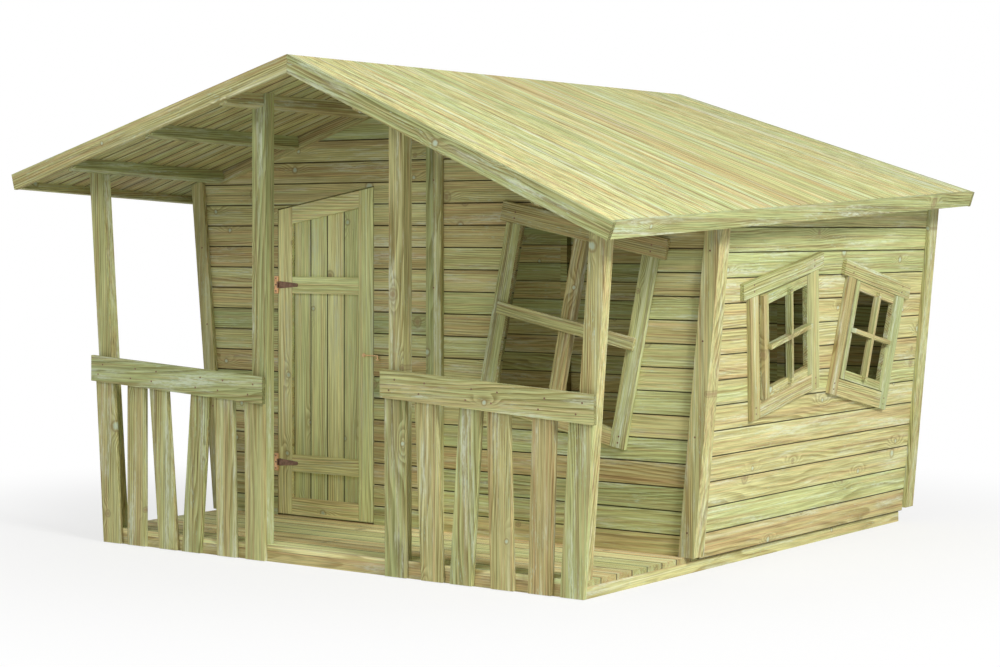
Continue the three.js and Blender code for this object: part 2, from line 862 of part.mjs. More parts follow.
// Stiles and rails on the face of the boards, with a fine line where each rail meets a stile.
function doorFrame() {
  const far = leafFace + doorFrameThick;
  const plate = (outline) => toSolid(uprightPlate(outline, leafFace, far));
  const hole = (low, high) => toSolid(uprightPlate(
    rectangle(stileWide, doorWide - stileWide, low, high),
    leafFace - overrun,
    far + overrun,
  ));
  let frame = plate(leafOutline(0, doorWide, 0, 0));
  frame = frame.subtract(hole(doorRailHigh, lowRailRise));
  frame = frame.subtract(hole(lowRailRise + doorRailHigh, midRailRise));
  const upper = leafOutline(stileWide, doorWide - stileWide, midRailRise + doorRailHigh, doorRailHigh);
  frame = frame.subtract(toSolid(uprightPlate(upper, leafFace - overrun, far + overrun)));
  const rails = [0, lowRailRise, midRailRise, leafTop(stileWide, doorRailHigh)];
  for (const low of rails) {
    for (const x of [stileWide, doorWide - stileWide]) {
      const line = rectangle(x - jointWide / 2, x + jointWide / 2, low, low + doorRailHigh);
      frame = frame.subtract(toSolid(uprightPlate(line, leafFace - overrun, leafFace + jointDeep)));
    }
  }
  return frame;
}

function knuckle(low, high) {
  return toSolid(rodBetween(
    new THREE.Vector3(0, 0, low),
    new THREE.Vector3(0, 0, high),
    barrelRadius,
    barrelSides,
  ));
}

function hingePin(radius, low, high) {
  return toSolid(rodBetween(
    new THREE.Vector3(0, 0, low),
    new THREE.Vector3(0, 0, high),
    radius,
    barrelSides,
  ));
}

const leafBack = leafFace - seatGap;

// The wall plate carries the outer knuckles and the pin.
function hingePlate() {
  const half = plateHigh / 2;
  const mid = knuckleHigh / 2 + knuckleFit;
  const notch = -barrelRadius - knuckleFit;
  const outline = [
    new THREE.Vector2(-plateWide, -half),
    new THREE.Vector2(0, -half),
    new THREE.Vector2(0, -mid),
    new THREE.Vector2(notch, -mid),
    new THREE.Vector2(notch, mid),
    new THREE.Vector2(0, mid),
    new THREE.Vector2(0, half),
    new THREE.Vector2(-plateWide, half),
  ];
  return toSolid(uprightPlate(outline, leafBack - leafThick, leafBack))
    .add(knuckle(-half, -mid))
    .add(knuckle(mid, half))
    .add(hingePin(pinRadius, -half + knuckleFit, half - knuckleFit));
}

// The strap carries the middle knuckle, and tapers to a rounded tip.
function hingeStrap() {
  const root = strapRootHigh / 2;
  const tip = strapTipHigh / 2;
  const mid = knuckleHigh / 2;
  const shape = new THREE.Shape();
  shape.moveTo(0, -mid);
  shape.lineTo(strapNeck, -mid);
  shape.lineTo(strapNeck + knuckleFit, -root);
  shape.lineTo(strapLong - tip, -tip);
  shape.absarc(strapLong - tip, 0, tip, -Math.PI / 2, Math.PI / 2, false);
  shape.lineTo(strapNeck + knuckleFit, root);
  shape.lineTo(strapNeck, mid);
  shape.lineTo(0, mid);
  const outline = shape.getPoints(wireSides);
  return toSolid(uprightPlate(outline.slice(0, -1), leafBack - leafThick, leafBack))
    .add(knuckle(-mid, mid))
    .subtract(hingePin(pinRadius + pinFit, -plateHigh, plateHigh));
}

function addDoor() {
  add('door_boards', doorBoards(), doorWood, door);
  add('door_frame', doorFrame(), doorWood, door);
  const spots = [['lower', lowRailRise], ['upper', midRailRise]];
  for (const [name, rise] of spots) {
    const hinge = new THREE.Group();
    hinge.position.z = rise + doorRailHigh / 2;
    door.add(hinge);
    add(`hinge_plate_${name}`, hingePlate(), copper, hinge);
    add(`hinge_strap_${name}`, hingeStrap(), copper, hinge);
  }
}

// Hook and eye. The hook turns on a headed pin in the door's far stile, and its tip
// rests just over the eye in the wall.

const latch = new THREE.Group();
latch.position.set(doorWide - hookInset, leafFace - hookStand, hookRise);
door.add(latch);

function ring(radius, wire, flat) {
  const geometry = new THREE.TorusGeometry(radius, wire, wireSides, ringSteps);
  if (!flat) geometry.rotateX(Math.PI / 2);
  return toSolid(geometry);
}

function latchHook() {
  const bend = new THREE.Vector3(hookLong, 0, 0);
  const end = new THREE.Vector3(hookLong, 0, -hookTipDrop);
  const start = new THREE.Vector3(hookRingRadius, 0, 0);
  const corner = new THREE.SphereGeometry(hookRadius, wireSides, wireSides);
  corner.translate(bend.x, bend.y, bend.z);
  return ring(hookRingRadius, hookRadius, false)
    .add(toSolid(rodBetween(start, bend, hookRadius, wireSides)))
    .add(toSolid(corner))
    .add(toSolid(rodBetween(bend, end, hookRadius, wireSides)));
}

function latchPin() {
  const back = new THREE.Vector3(0, hookStand - seatGap, 0);
  const headBack = new THREE.Vector3(0, -hookRadius - notchGap, 0);
  const headFront = new THREE.Vector3(0, headBack.y - hookPinHeadThick, 0);
  return toSolid(rodBetween(back, headBack, hookPinRadius, barrelSides))
    .add(toSolid(rodBetween(headBack, headFront, hookPinHead, barrelSides)));
}

function latchEye() {
  const rise = -hookTipDrop - eyeFit - eyeWire;
  const eye = new THREE.TorusGeometry(eyeRadius, eyeWire, wireSides, ringSteps);
  eye.translate(hookLong, 0, rise);
  const back = new THREE.Vector3(hookLong, hookStand - seatGap, rise);
  const front = new THREE.Vector3(hookLong, eyeRadius, rise);
  return toSolid(eye).add(toSolid(rodBetween(back, front, eyeWire, wireSides)));
}

function addLatch() {
  add('latch_hook', latchHook(), copper, latch);
  add('latch_pin', latchPin(), copper, latch);
  add('latch_eye', latchEye(), copper, latch);
}

// Windows. A window's own frame has x along the head, y up a jamb and z out of the wall.

function boardBlock(left, right, low, high, near, far) {
  return toSolid(block(left, right, low, high, near, far));
}

// Head over both jambs, and a sill between them, with a fine line at each joint.
function windowFrame(size) {
  const near = seatGap;
  const far = near + frameThick;
  const halfWide = size.wide / 2;
  const halfHigh = size.high / 2;
  const outer = halfWide + size.jamb;
  const low = -halfHigh - size.sill;
  let frame = boardBlock(-outer - size.lap, outer + size.lap, halfHigh, halfHigh + size.head, near, far);
  frame = frame.add(boardBlock(-outer, outer, low, halfHigh, near, far));
  frame = frame.subtract(boardBlock(-halfWide, halfWide, -halfHigh, halfHigh, near - overrun, far + overrun));
  const cutNear = far - jointDeep;
  for (const side of [-1, 1]) {
    const x = side * halfWide;
    const half = jointWide / 2;
    const sillLine = boardBlock(x - half, x + half, low - overrun, -halfHigh, cutNear, far + overrun);
    const from = Math.min(x, side * outer);
    const headLine = boardBlock(
      from,
      from + size.jamb,
      halfHigh - half,
      halfHigh + half,
      cutNear,
      far + overrun,
    );
    frame = frame.subtract(sillLine).subtract(headLine);
  }
  return frame;
}

function addFrontWindow() {
  const size = {
    wide: frontOpenWide,
    high: frontOpenHigh,
    head: frontHeadHigh,
    sill: frontSillHigh,
    jamb: frontJambWide,
    lap: frontHeadLap,
  };
  add('front_window_frame', windowFrame(size), trimWood, frontWindow);
  const half = frontOpenHigh / 2 - seatGap;
  const far = seatGap + frameThick;
  const mullion = boardBlock(-mullionWide / 2, mullionWide / 2, -half, half, -boardThick, far);
  const reach = frontOpenWide / 2 + crossLap;
  const near = far + seatGap;
  const across = boardBlock(-reach, reach, -crossHigh / 2, crossHigh / 2, near, near + crossThick)
    .add(boardBlock(-mullionWide / 2, mullionWide / 2, -crossHigh / 2, crossHigh / 2, 0, near));
  add('front_window_bars', mullion.add(across), trimWood, frontWindow);
}

// The sash's own group stands on its hinge line, at the face of the sash.
function sash(side) {
  const wide = sideOpenWide - 2 * sashGap;
  const half = sideOpenHigh / 2 - sashGap;
  const left = side > 0 ? -wide : 0;
  const right = left + wide;
  const middle = (left + right) / 2;
  const barHalf = barThick / 2;
  let body = boardBlock(left, right, -half, half, -sashThick, 0);
  body = body.subtract(boardBlock(
    left + sashWide,
    right - sashWide,
    -half + sashWide,
    half - sashWide,
    -sashThick - overrun,
    overrun,
  ));
  for (const x of [left + sashWide, right - sashWide]) {
    for (const low of [-half, half - sashWide]) {
      const lineLeft = x - jointWide / 2;
      const line = [lineLeft, lineLeft + jointWide, low, low + sashWide, -jointDeep, overrun];
      body = body.subtract(boardBlock(...line));
    }
  }
  const barFoot = -half + sashWide - barLap;
  const upright = boardBlock(middle - barHalf, middle + barHalf, barFoot, -barFoot, -barHalf, barThick);
  const acrossLeft = left + sashWide - barSideLap;
  const acrossRight = right - sashWide + barSideLap;
  const across = boardBlock(acrossLeft, acrossRight, -barHalf, barHalf, -barHalf, barThick);
  return body.add(upright).add(across);
}

function addSideWindows() {
  const size = {
    wide: sideOpenWide,
    high: sideOpenHigh,
    head: sideHeadHigh,
    sill: sideSillHigh,
    jamb: sideJambWide,
    lap: sideHeadLap,
  };
  for (const { name, hingeSide, ajar, group } of sideWindows) {
    add(`side_window_frame_${name}`, windowFrame(size), trimWood, group);
    const hinge = new THREE.Group();
    hinge.position.set(hingeSide * (sideOpenWide / 2 - sashGap), 0, 2 * seatGap + sashThick);
    hinge.rotation.y = hingeSide * THREE.MathUtils.degToRad(ajar);
    group.add(hinge);
    add(`side_window_sash_${name}`, sash(hingeSide), trimWood, hinge);
  }
}

addBase();
addWalls();
addTrims();
addVeranda();
addDoor();
addLatch();
addFrontWindow();
addSideWindows();
addRoof();

export default playhouse;
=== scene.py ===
import math

import bmesh
import bpy
from mathutils import Matrix, Vector


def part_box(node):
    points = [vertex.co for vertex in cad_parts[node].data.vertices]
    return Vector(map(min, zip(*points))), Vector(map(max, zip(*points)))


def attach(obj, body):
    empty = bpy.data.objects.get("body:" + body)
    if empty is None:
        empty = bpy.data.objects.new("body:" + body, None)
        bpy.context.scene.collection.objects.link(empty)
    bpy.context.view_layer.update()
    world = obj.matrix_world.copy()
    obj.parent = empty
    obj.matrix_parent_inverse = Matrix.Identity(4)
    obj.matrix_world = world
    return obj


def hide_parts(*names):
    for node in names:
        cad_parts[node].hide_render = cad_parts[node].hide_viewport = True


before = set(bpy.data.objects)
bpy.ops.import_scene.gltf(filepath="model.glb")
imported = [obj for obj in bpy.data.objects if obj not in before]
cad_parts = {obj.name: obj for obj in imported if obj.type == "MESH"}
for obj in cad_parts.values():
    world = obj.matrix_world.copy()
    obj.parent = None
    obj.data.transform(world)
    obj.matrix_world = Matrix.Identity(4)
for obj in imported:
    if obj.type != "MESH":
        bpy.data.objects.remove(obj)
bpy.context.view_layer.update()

# Sizes of the house, in metres, as in the solids.
SEAT_GAP = 0.0003
WALL_FRONT = -0.446
WALL_LEAN = math.radians(5.4)
SIDE_WALL_FOOT = 1.075
CORNER_FOOT = 1.0913
SIDING_LOW = 0.046
GABLE_COVER = 0.080
SIDE_COVER = 0.086
VERANDA_FRONT = -1.058
VERANDA_BOARD = 0.6357 / 7
FLOOR_FRONT = -0.422
FLOOR_BOARD = 1.594 / 18
POST_LEAN = math.radians(4.3)
PICKET_WIDE = 0.088
PICKET_SIDES = {"left": (-1, 1, -1, 1, -1, -1), "right": (-1, -1, 1, -1, 1, 1)}
RAIL_LONG = 0.848
RAIL_FALL = 0.048

ROOF_LONG = 2.514
ROOF_ENDS = 1.2407
ROOF_BOARDS = 39
ROOF_BOARD = 2 * ROOF_ENDS / ROOF_BOARDS
ROOF_THICK = 0.028
REEDS_PER_BOARD = 7
RAFTER_THICK = 0.028
RAFTER_MIDDLE = WALL_FRONT - SEAT_GAP - RAFTER_THICK / 2
RIDGE_HIGH = 1.732
SLOPE_LONG = 1.408
EAVE_END = 1.3917
# How far each slope drops at its front edge and at its rear edge.
DROPS = {"left": (0.378, 0.506), "right": (0.563, 0.434)}

DOOR_LEFT = -0.766
DOOR_WIDE = 0.470
DOOR_STILE = 0.070
DOOR_BOARD = (DOOR_WIDE - 2 * DOOR_STILE) / 4
DOOR_CENTRE = Vector((DOOR_LEFT + DOOR_WIDE / 2, 0, 0.7))

# A window's half sizes are those of its opening, inside jambs, head and sill.
FRONT_WINDOW = {"place": (0.578, WALL_FRONT, 0.819), "tilt": math.radians(-11.4)}
FRONT_WINDOW_HALF = (0.257, 0.3025)
FRONT_BAR_HALF = 0.0221
SIDE_WINDOWS = {
    "front": {"along": 0.050, "high": 0.785, "tilt": math.radians(11)},
    "rear": {"along": 0.706, "high": 0.756, "tilt": math.radians(-11)},
}
SIDE_WINDOW_HALF = (0.186, 0.187)
SASH_STILE = 0.150
SASH_BAR_HALF = 0.0081

# Nails and screws: where they stand on what they hold, and the size of their heads.
NAIL = {"radius": 0.0034, "proud": 0.0009}
SCREW = {"radius": 0.0032, "proud": 0.0012}
RAIL_NAILS = ((0.012, 0.030), (-0.012, 0.066))
COVER_NAIL_RISES = (0.16, 0.55, 0.94, 1.33, 1.6)
CORNER_NAIL_RISES = (0.14, 0.46, 0.78, 1.08)
CORNER_NAIL_INSETS = (0.034, 0.036)
CORNER_NAIL_STEP = 0.03
HEAD_NAILS = (0.018, 0.040)
SILL_NAILS = (0.020, 0.042)
FRONT_JAMB_MIDDLE = 0.0305
SIDE_JAMB_MIDDLE = 0.029
FRAME_FACE = 0.0163
HINGE_FACE = WALL_FRONT - 0.0028
STRAP_SCREWS = ((0.020, 0.007), (0.020, -0.007), (0.052, 0), (0.086, 0))
PLATE_MIDDLE = 0.011
PLATE_SCREW_RISES = (0.024, 0, -0.024)

X, Y, Z = Vector((1, 0, 0)), Vector((0, 1, 0)), Vector((0, 0, 1))

# Half the width of the dark line between two boards.
SIDING_JOINT = 0.0017
DOOR_JOINT = 0.002
VERANDA_JOINT = 0.0022
FLOOR_JOINT = 0.0012

# Colours that are laid over wood, or multiplied into it; the hollow and underside colours are
# painted shade.
JOINT_SHADE = (0.05, 0.045, 0.02, 1)
ROOF_JOINT_SHADE = (0.12, 0.095, 0.045, 1)
PAINTED_HOLLOW_SHADE = (0.34, 0.30, 0.15, 1)
END_SHADE = (0.52, 0.51, 0.43, 1)
PAINTED_UNDERSIDE_SHADE = (0.62, 0.61, 0.55, 1)
RING_SHADE = (0.50, 0.43, 0.30, 1)
FIBRE_SHADE = (0.50, 0.46, 0.38, 1)
FIBRE_LIGHT = (1.22, 1.22, 1.30, 1)
SALT = (0.66, 0.73, 0.58, 1)
MINT = (0.52, 0.74, 0.62, 1)
KNOT_HALO = (0.40, 0.37, 0.17, 1)
KNOT_RIM = (0.20, 0.14, 0.06, 1)
KNOT_BROWN = (0.30, 0.22, 0.11, 1)
KNOT_PALE = (0.46, 0.56, 0.44, 1)
BAND_HUES = (
    (0.0, (0.54, 0.50, 0.40, 1)),
    (0.2, (0.94, 0.78, 0.66, 1)),
    (0.36, (1.10, 1.00, 0.80, 1)),
    (0.50, (0.72, 0.86, 0.70, 1)),
    (0.62, (1.12, 1.10, 0.86, 1)),
    (0.80, (0.92, 1.04, 0.90, 1)),
    (1.0, (1.22, 1.28, 1.50, 1)),
)
BOARD_TINTS = (
    (0.0, (0.76, 0.88, 0.78, 1)),
    (0.25, (0.92, 1.0, 0.88, 1)),
    (0.55, (1.05, 1.05, 0.98, 1)),
    (0.8, (1.0, 0.95, 0.86, 1)),
    (1.0, (0.92, 0.80, 0.72, 1)),
)

# How the treated pine looks in each place.
TIMBER = {
    "siding": {"Straw": (0.61, 0.585, 0.335, 1), "Tints": 1.0, "Bands": 0.7, "Grain": 0.75,
               "Fibre": 0.65, "Bloom": 0.5, "Knots": 0.3},
    "roof": {"Straw": (0.71, 0.68, 0.405, 1), "Tints": 0.7, "Bands": 1.0, "Grain": 0.2,
             "Fibre": 1.0, "Bloom": 0.7, "Knots": 0.0},
    "trim": {"Straw": (0.55, 0.525, 0.295, 1), "Tints": 0.85, "Bands": 0.75, "Grain": 0.85,
             "Fibre": 0.8, "Bloom": 0.6, "Knots": 0.3},
    "frame": {"Straw": (0.50, 0.475, 0.27, 1), "Tints": 0.85, "Bands": 0.75, "Grain": 0.85,
              "Fibre": 0.8, "Bloom": 0.6, "Knots": 0.0},
    "deck": {"Straw": (1.0, 0.93, 0.63, 1), "Tints": 1.0, "Bands": 0.9, "Grain": 1.0,
             "Fibre": 0.5, "Bloom": 0.4, "Knots": 0.25},
    "door": {"Straw": (0.88, 0.86, 0.50, 1), "Tints": 0.7, "Bands": 0.6, "Grain": 0.7,
             "Fibre": 0.6, "Bloom": 0.5, "Knots": 0.25},
}
WOOD_BUMP = 0.35
ROOF_BUMP = 0.3

# Where knots may lie: cells per metre along and across a board.
KNOTS_ALONG, KNOTS_ACROSS = 3.6, 10.0
RINGS_PER_METRE = 135.0


class Graph:
    """A node tree that is filled in one node at a time."""

    def __init__(self, tree):
        self.tree = tree

    def node(self, kind, settings=None, **inputs):
        made = self.tree.nodes.new(kind)
        for name, value in (settings or {}).items():
            setattr(made, name, value)
        for name, value in inputs.items():
            self.feed(made, name.replace("_", " "), value)
        return made

    def feed(self, made, name, value):
        """Sets or links an input, given by its name or, as i0 and so on, by its place."""
        by_place = name[0] == "i" and name[1:].isdigit()
        socket = made.inputs[int(name[1:]) if by_place else name]
        if isinstance(value, bpy.types.NodeSocket):
            self.tree.links.new(value, socket)
        else:
            socket.default_value = value

    def group(self, tree, **inputs):
        return self.node("ShaderNodeGroup", {"node_tree": tree}, **inputs)

    def math(self, operation, *values, clamp=False):
        made = self.node("ShaderNodeMath", {"operation": operation, "use_clamp": clamp})
        for place, value in enumerate(values):
            self.feed(made, f"i{place}", value)
        return made.outputs[0]

    def vector(self, operation, *values):
        made = self.node("ShaderNodeVectorMath", {"operation": operation})
        for place, value in enumerate(values):
            self.feed(made, f"i{place}", value)
        return made.outputs["Value" if operation in ("DOT_PRODUCT", "LENGTH") else "Vector"]

    def split(self, vector):
        return self.node("ShaderNodeSeparateXYZ", Vector=vector).outputs

    def join(self, x, y, z):
        return self.node("ShaderNodeCombineXYZ", X=x, Y=y, Z=z).outputs[0]

    def noise(self, vector, scale=1.0, detail=2.0, roughness=0.5):
        made = self.node("ShaderNodeTexNoise", Vector=vector, Scale=scale, Detail=detail,
                         Roughness=roughness)
        return made.outputs["Fac"]

    def smooth(self, value, low, high, to_low=0.0, to_high=1.0):
        made = self.node("ShaderNodeMapRange", {"interpolation_type": "SMOOTHSTEP"}, Value=value,
                         From_Min=low, From_Max=high, To_Min=to_low, To_Max=to_high)
        return made.outputs["Result"]

    def blend(self, share, first, second, how="MIX"):
        made = self.node("ShaderNodeMix", {"data_type": "RGBA", "blend_type": how,
                                           "clamp_factor": True})
        for place, value in (("i0", share), ("i6", first), ("i7", second)):
            self.feed(made, place, value)
        return made.outputs[2]

    def tint(self, share, colour, by):
        """Multiplies a share of one colour into another."""
        return self.blend(share, colour, self.blend(1.0, colour, by, "MULTIPLY"))

    def choose(self, share, first, second):
        made = self.node("ShaderNodeMix", {"data_type": "VECTOR", "clamp_factor": True})
        for place, value in (("i0", share), ("i4", first), ("i5", second)):
            self.feed(made, place, value)
        return made.outputs[1]

    def ramp(self, value, stops):
        made = self.node("ShaderNodeValToRGB", Fac=value)
        elements = made.color_ramp.elements
        for element, (spot, colour) in zip(elements[:], (stops[0], stops[-1])):
            element.position, element.color = spot, colour
        for spot, colour in stops[1:-1]:
            elements.new(spot).color = colour
        return made.outputs["Color"]

    def seen(self):
        """1 for what the camera sees, straight or by way of metal or glass."""
        light = self.node("ShaderNodeLightPath").outputs
        mirrored = self.math("MAXIMUM", light["Is Glossy Ray"], light["Is Transmission Ray"])
        return self.math("MAXIMUM", light["Is Camera Ray"], mirrored)


def new_group(name, inputs, outputs):
    tree = bpy.data.node_groups.new(name, "ShaderNodeTree")
    for label, kind, value in inputs:
        socket = tree.interface.new_socket(label, in_out="INPUT", socket_type=f"NodeSocket{kind}")
        if value is not None:
            socket.default_value = value
    for label, kind in outputs:
        tree.interface.new_socket(label, in_out="OUTPUT", socket_type=f"NodeSocket{kind}")
    g = Graph(tree)
    return tree, g, g.node("NodeGroupInput").outputs, g.node("NodeGroupOutput")


def board_place_group():
    """Turns a place on the object into one along, across and through its numbered boards."""
    tree, g, given, out = new_group(
        "board place",
        [
            ("Position", "Vector", None),
            ("Along", "Vector", (1, 0, 0)),
            ("Across", "Vector", (0, 0, 1)),
            ("Through", "Vector", (0, 1, 0)),
            ("First Joint", "Float", 0.0),
            ("Board Width", "Float", 1.0),
        ],
        [("Place", "Vector"), ("Board", "Float"), ("Share", "Float")],
    )
    along, across, through = (g.vector("DOT_PRODUCT", given["Position"], given[way])
                              for way in ("Along", "Across", "Through"))
    past = g.math("SUBTRACT", across, given["First Joint"])
    counted = g.math("DIVIDE", past, given["Board Width"])
    g.feed(out, "Place", g.join(along, across, through))
    g.feed(out, "Board", g.math("FLOOR", counted))
    g.feed(out, "Share", g.math("FRACT", counted))
    return tree


def knot_group():
    """Knots: a pale or brown heart with a thin rim, and how far the grain around each bends."""
    tree, g, given, out = new_group(
        "knots",
        [
            ("Along", "Float", 0.0),
            ("Across", "Float", 0.0),
            ("Chance", "Float", 0.0),
            ("Share", "Float", 0.3),
        ],
        [("Bend", "Float"), ("Heart", "Float"), ("Rim", "Float"), ("Pale", "Float")],
    )
    along, across = given["Along"], given["Across"]
    shift = g.math("MULTIPLY", given["Chance"], 31.0)
    spot = g.join(g.math("MULTIPLY", along, KNOTS_ALONG),
                  g.math("MULTIPLY_ADD", across, KNOTS_ACROSS, shift), 0.0)
    cells = g.node("ShaderNodeTexVoronoi", {"voronoi_dimensions": "2D"}, Vector=spot, Scale=1.0,
                   Randomness=1.0)
    away = g.split(g.vector("SUBTRACT", spot, cells.outputs["Position"]))
    lucky = g.split(cells.outputs["Color"])
    wobble = g.noise(g.join(g.math("MULTIPLY", along, 60.0), g.math("MULTIPLY", across, 60.0), 0.0))
    long_way = g.math("DIVIDE", away[0], KNOTS_ALONG)
    cross_way = g.math("DIVIDE", away[1], KNOTS_ACROSS)
    distance = g.vector("LENGTH", g.join(long_way, cross_way, 0.0))
    distance = g.math("MULTIPLY_ADD", g.math("SUBTRACT", wobble, 0.5), 0.008, distance)
    there = g.math("LESS_THAN", lucky[0], given["Share"])
    size = g.math("MULTIPLY_ADD", g.math("POWER", lucky[1], 2.0), 0.010, 0.007)
    share = g.math("DIVIDE", distance, size)
    reach = g.vector("LENGTH", g.join(g.math("MULTIPLY", long_way, 0.4), cross_way, 0.0))
    g.feed(out, "Bend", g.math("MULTIPLY", g.smooth(reach, 0.0, 0.035, 1.0, 0.0), there))
    g.feed(out, "Heart", g.math("MULTIPLY", g.smooth(share, 0.4, 1.1, 1.0, 0.0), there))
    edge = g.math("ABSOLUTE", g.math("SUBTRACT", share, 1.2))
    g.feed(out, "Rim", g.math("MULTIPLY", g.smooth(edge, 0.0, 0.5, 1.0, 0.0), there))
    g.feed(out, "Pale", g.math("GREATER_THAN", lucky[2], 0.4))
    return tree


def pine_group():
    """Pressure-treated pine: bands, growth rings, fibres, knots, salt and a tint for each board."""
    tree, g, given, out = new_group(
        "treated pine",
        [
            ("Place", "Vector", None),
            ("Board", "Float", 0.0),
            ("Seed", "Float", 0.0),
            ("Straw", "Color", (0.6, 0.56, 0.3, 1)),
            ("Tints", "Float", 0.6),
            ("Bands", "Float", 0.5),
            ("Grain", "Float", 0.5),
            ("Fibre", "Float", 0.5),
            ("Bloom", "Float", 0.4),
            ("Knots", "Float", 0.4),
        ],
        [("Color", "Color"), ("Roughness", "Float"), ("Height", "Float")],
    )
    number = g.math("ADD", g.math("MULTIPLY", given["Seed"], 17.31), given["Board"])
    chance = g.node("ShaderNodeTexWhiteNoise", {"noise_dimensions": "1D"}, W=number)
    first, second, third = g.split(chance.outputs["Color"])
    place = g.split(given["Place"])
    shift = g.math("MULTIPLY_ADD", first, 40.0, g.math("MULTIPLY", number, 1.7))
    along = g.math("ADD", place[0], shift)
    across, through = place[1], place[2]

    def streaks(long_scale, cross_scale, offset, detail=3.0, roughness=0.6):
        spot = g.join(
            g.math("MULTIPLY", along, long_scale),
            g.math("MULTIPLY", across, cross_scale),
            g.math("MULTIPLY_ADD", through, cross_scale, offset),
        )
        return g.noise(spot, 1.0, detail, roughness)

    knots = g.group(KNOTS, Along=along, Across=across, Chance=second, Share=given["Knots"]).outputs

    # Growth rings of a trunk whose heart lies off the board and runs at a slight angle to it.
    sway = streaks(1.5, 9.0, second, 2.0, 0.5)
    slant = g.math("MULTIPLY", g.math("SUBTRACT", third, 0.5), 0.06)
    aside = g.math("MULTIPLY", g.math("SUBTRACT", first, 0.5), 0.1)
    behind = g.math("MULTIPLY_ADD", second, 0.07, 0.015)
    heart_through = g.math("ADD", g.math("MULTIPLY_ADD", place[0], slant, through), behind)
    radius = g.vector("LENGTH", g.join(g.math("ADD", across, aside), heart_through, 0.0))
    radius = g.math("MULTIPLY_ADD", sway, 0.04, radius)
    radius = g.math("MULTIPLY_ADD", knots["Bend"], 0.019, radius)
    phase = g.math("FRACT", g.math("MULTIPLY", radius, RINGS_PER_METRE))
    ring = g.math("MULTIPLY", g.smooth(phase, 0.1, 0.85), g.smooth(phase, 0.9, 1.0, 1.0, 0.0))
    fade = g.smooth(streaks(1.6, 22.0, third, 2.0, 0.5), 0.38, 0.62, 0.15, 1.0)
    fibre = streaks(5.0, 260.0, first, 3.0, 0.7)

    # Bands of straw, green, rose and pale wood along the board.
    band = streaks(0.5, 62.0, first, 4.0, 0.7)
    hues = g.ramp(g.smooth(band, 0.3, 0.7), BAND_HUES)
    wood = g.tint(given["Bands"], given["Straw"], hues)

    # Each board has its own tint, from green through straw to light brown.
    wood = g.tint(given["Tints"], wood, g.ramp(third, BOARD_TINTS))

    dark = g.math("MULTIPLY", g.math("MULTIPLY", ring, fade), given["Grain"], clamp=True)
    wood = g.tint(dark, wood, RING_SHADE)
    thread = g.math("MULTIPLY", g.smooth(fibre, 0.40, 0.66), given["Fibre"], clamp=True)
    wood = g.tint(thread, wood, FIBRE_SHADE)
    light = g.math("MULTIPLY", g.smooth(fibre, 0.26, 0.42, 1.0, 0.0), given["Fibre"], clamp=True)
    wood = g.tint(light, wood, FIBRE_LIGHT)

    # Blooms of treatment salt, in streaks with broken edges, and mint green specks.
    bloom = g.smooth(streaks(2.2, 24.0, second, 4.0, 0.65), 0.5, 0.68)
    flecks = streaks(26.0, 150.0, third, 3.0, 0.7)
    bloom = g.math("MULTIPLY", bloom, g.smooth(flecks, 0.38, 0.6, 0.2, 1.0))
    bloom = g.math("MULTIPLY", bloom, given["Bloom"], clamp=True)
    wood = g.blend(bloom, wood, SALT)
    specks = streaks(34.0, 230.0, first, 3.0, 0.7)
    patch = streaks(4.0, 14.0, third, 1.0, 0.5)
    mint = g.math("MULTIPLY", g.smooth(specks, 0.54, 0.70), g.smooth(patch, 0.48, 0.66))
    mint = g.math("MULTIPLY", g.math("MULTIPLY", mint, given["Bloom"]), 0.65)
    wood = g.blend(mint, wood, MINT)

    # Around a knot the wood darkens; its rim is a thin brown line, its heart pale or brown.
    wood = g.blend(g.math("MULTIPLY", knots["Bend"], 0.25), wood, KNOT_HALO)
    wood = g.blend(g.math("MULTIPLY", knots["Rim"], 0.5), wood, KNOT_RIM)
    heart = g.blend(knots["Pale"], KNOT_BROWN, KNOT_PALE)
    wood = g.blend(g.math("MULTIPLY", knots["Heart"], 0.75), wood, heart)

    g.feed(out, "Color", wood)
    rough = g.math("MULTIPLY_ADD", fibre, 0.2, 0.6)
    g.feed(out, "Roughness", g.math("MULTIPLY_ADD", bloom, 0.15, rough))
    height = g.math("MULTIPLY_ADD", ring, -0.3, g.math("MULTIPLY", fibre, -0.7))
    g.feed(out, "Height", g.math("MULTIPLY_ADD", knots["Heart"], 0.4, height))
    return tree


def joint_group():
    """A dark line where two boards meet."""
    tree, g, given, out = new_group(
        "board joint",
        [
            ("Share", "Float", 0.5),
            ("Board Width", "Float", 0.08),
            ("Half Width", "Float", 0.002),
        ],
        [("Line", "Float")],
    )
    half = given["Half Width"]
    off = g.math("SUBTRACT", 0.5, g.math("ABSOLUTE", g.math("SUBTRACT", given["Share"], 0.5)))
    off = g.math("MULTIPLY", off, given["Board Width"])
    edge = g.math("SUBTRACT", g.math("MULTIPLY", half, 1.6), half)
    clear = g.math("DIVIDE", g.math("SUBTRACT", off, half), edge, clamp=True)
    g.feed(out, "Line", g.math("SUBTRACT", 1.0, clear))
    return tree


def reeding_group():
    """A mask for painted shade in the hollows between the fine reeds that run down a board."""
    tree, g, given, out = new_group(
        "reeding",
        [("Share", "Float", 0.0), ("Reeds", "Float", 8.0)],
        [("Hollow", "Float")],
    )
    phase = g.math("FRACT", g.math("MULTIPLY", given["Share"], given["Reeds"]))
    crest = g.math("ABSOLUTE", g.math("SUBTRACT", phase, 0.5))
    g.feed(out, "Hollow", g.smooth(crest, 0.33, 0.5))
    return tree


PLACE = board_place_group()
KNOTS = knot_group()
PINE = pine_group()
JOINT = joint_group()
REEDS = reeding_group()

# Each material takes the next seed, so no two members have the same grain.
seeds = iter(range(1, 200))


def start_material(name):
    material = bpy.data.materials.new(name)
    material.use_nodes = True
    g = Graph(material.node_tree)
    return material, g, material.node_tree.nodes["Principled BSDF"]


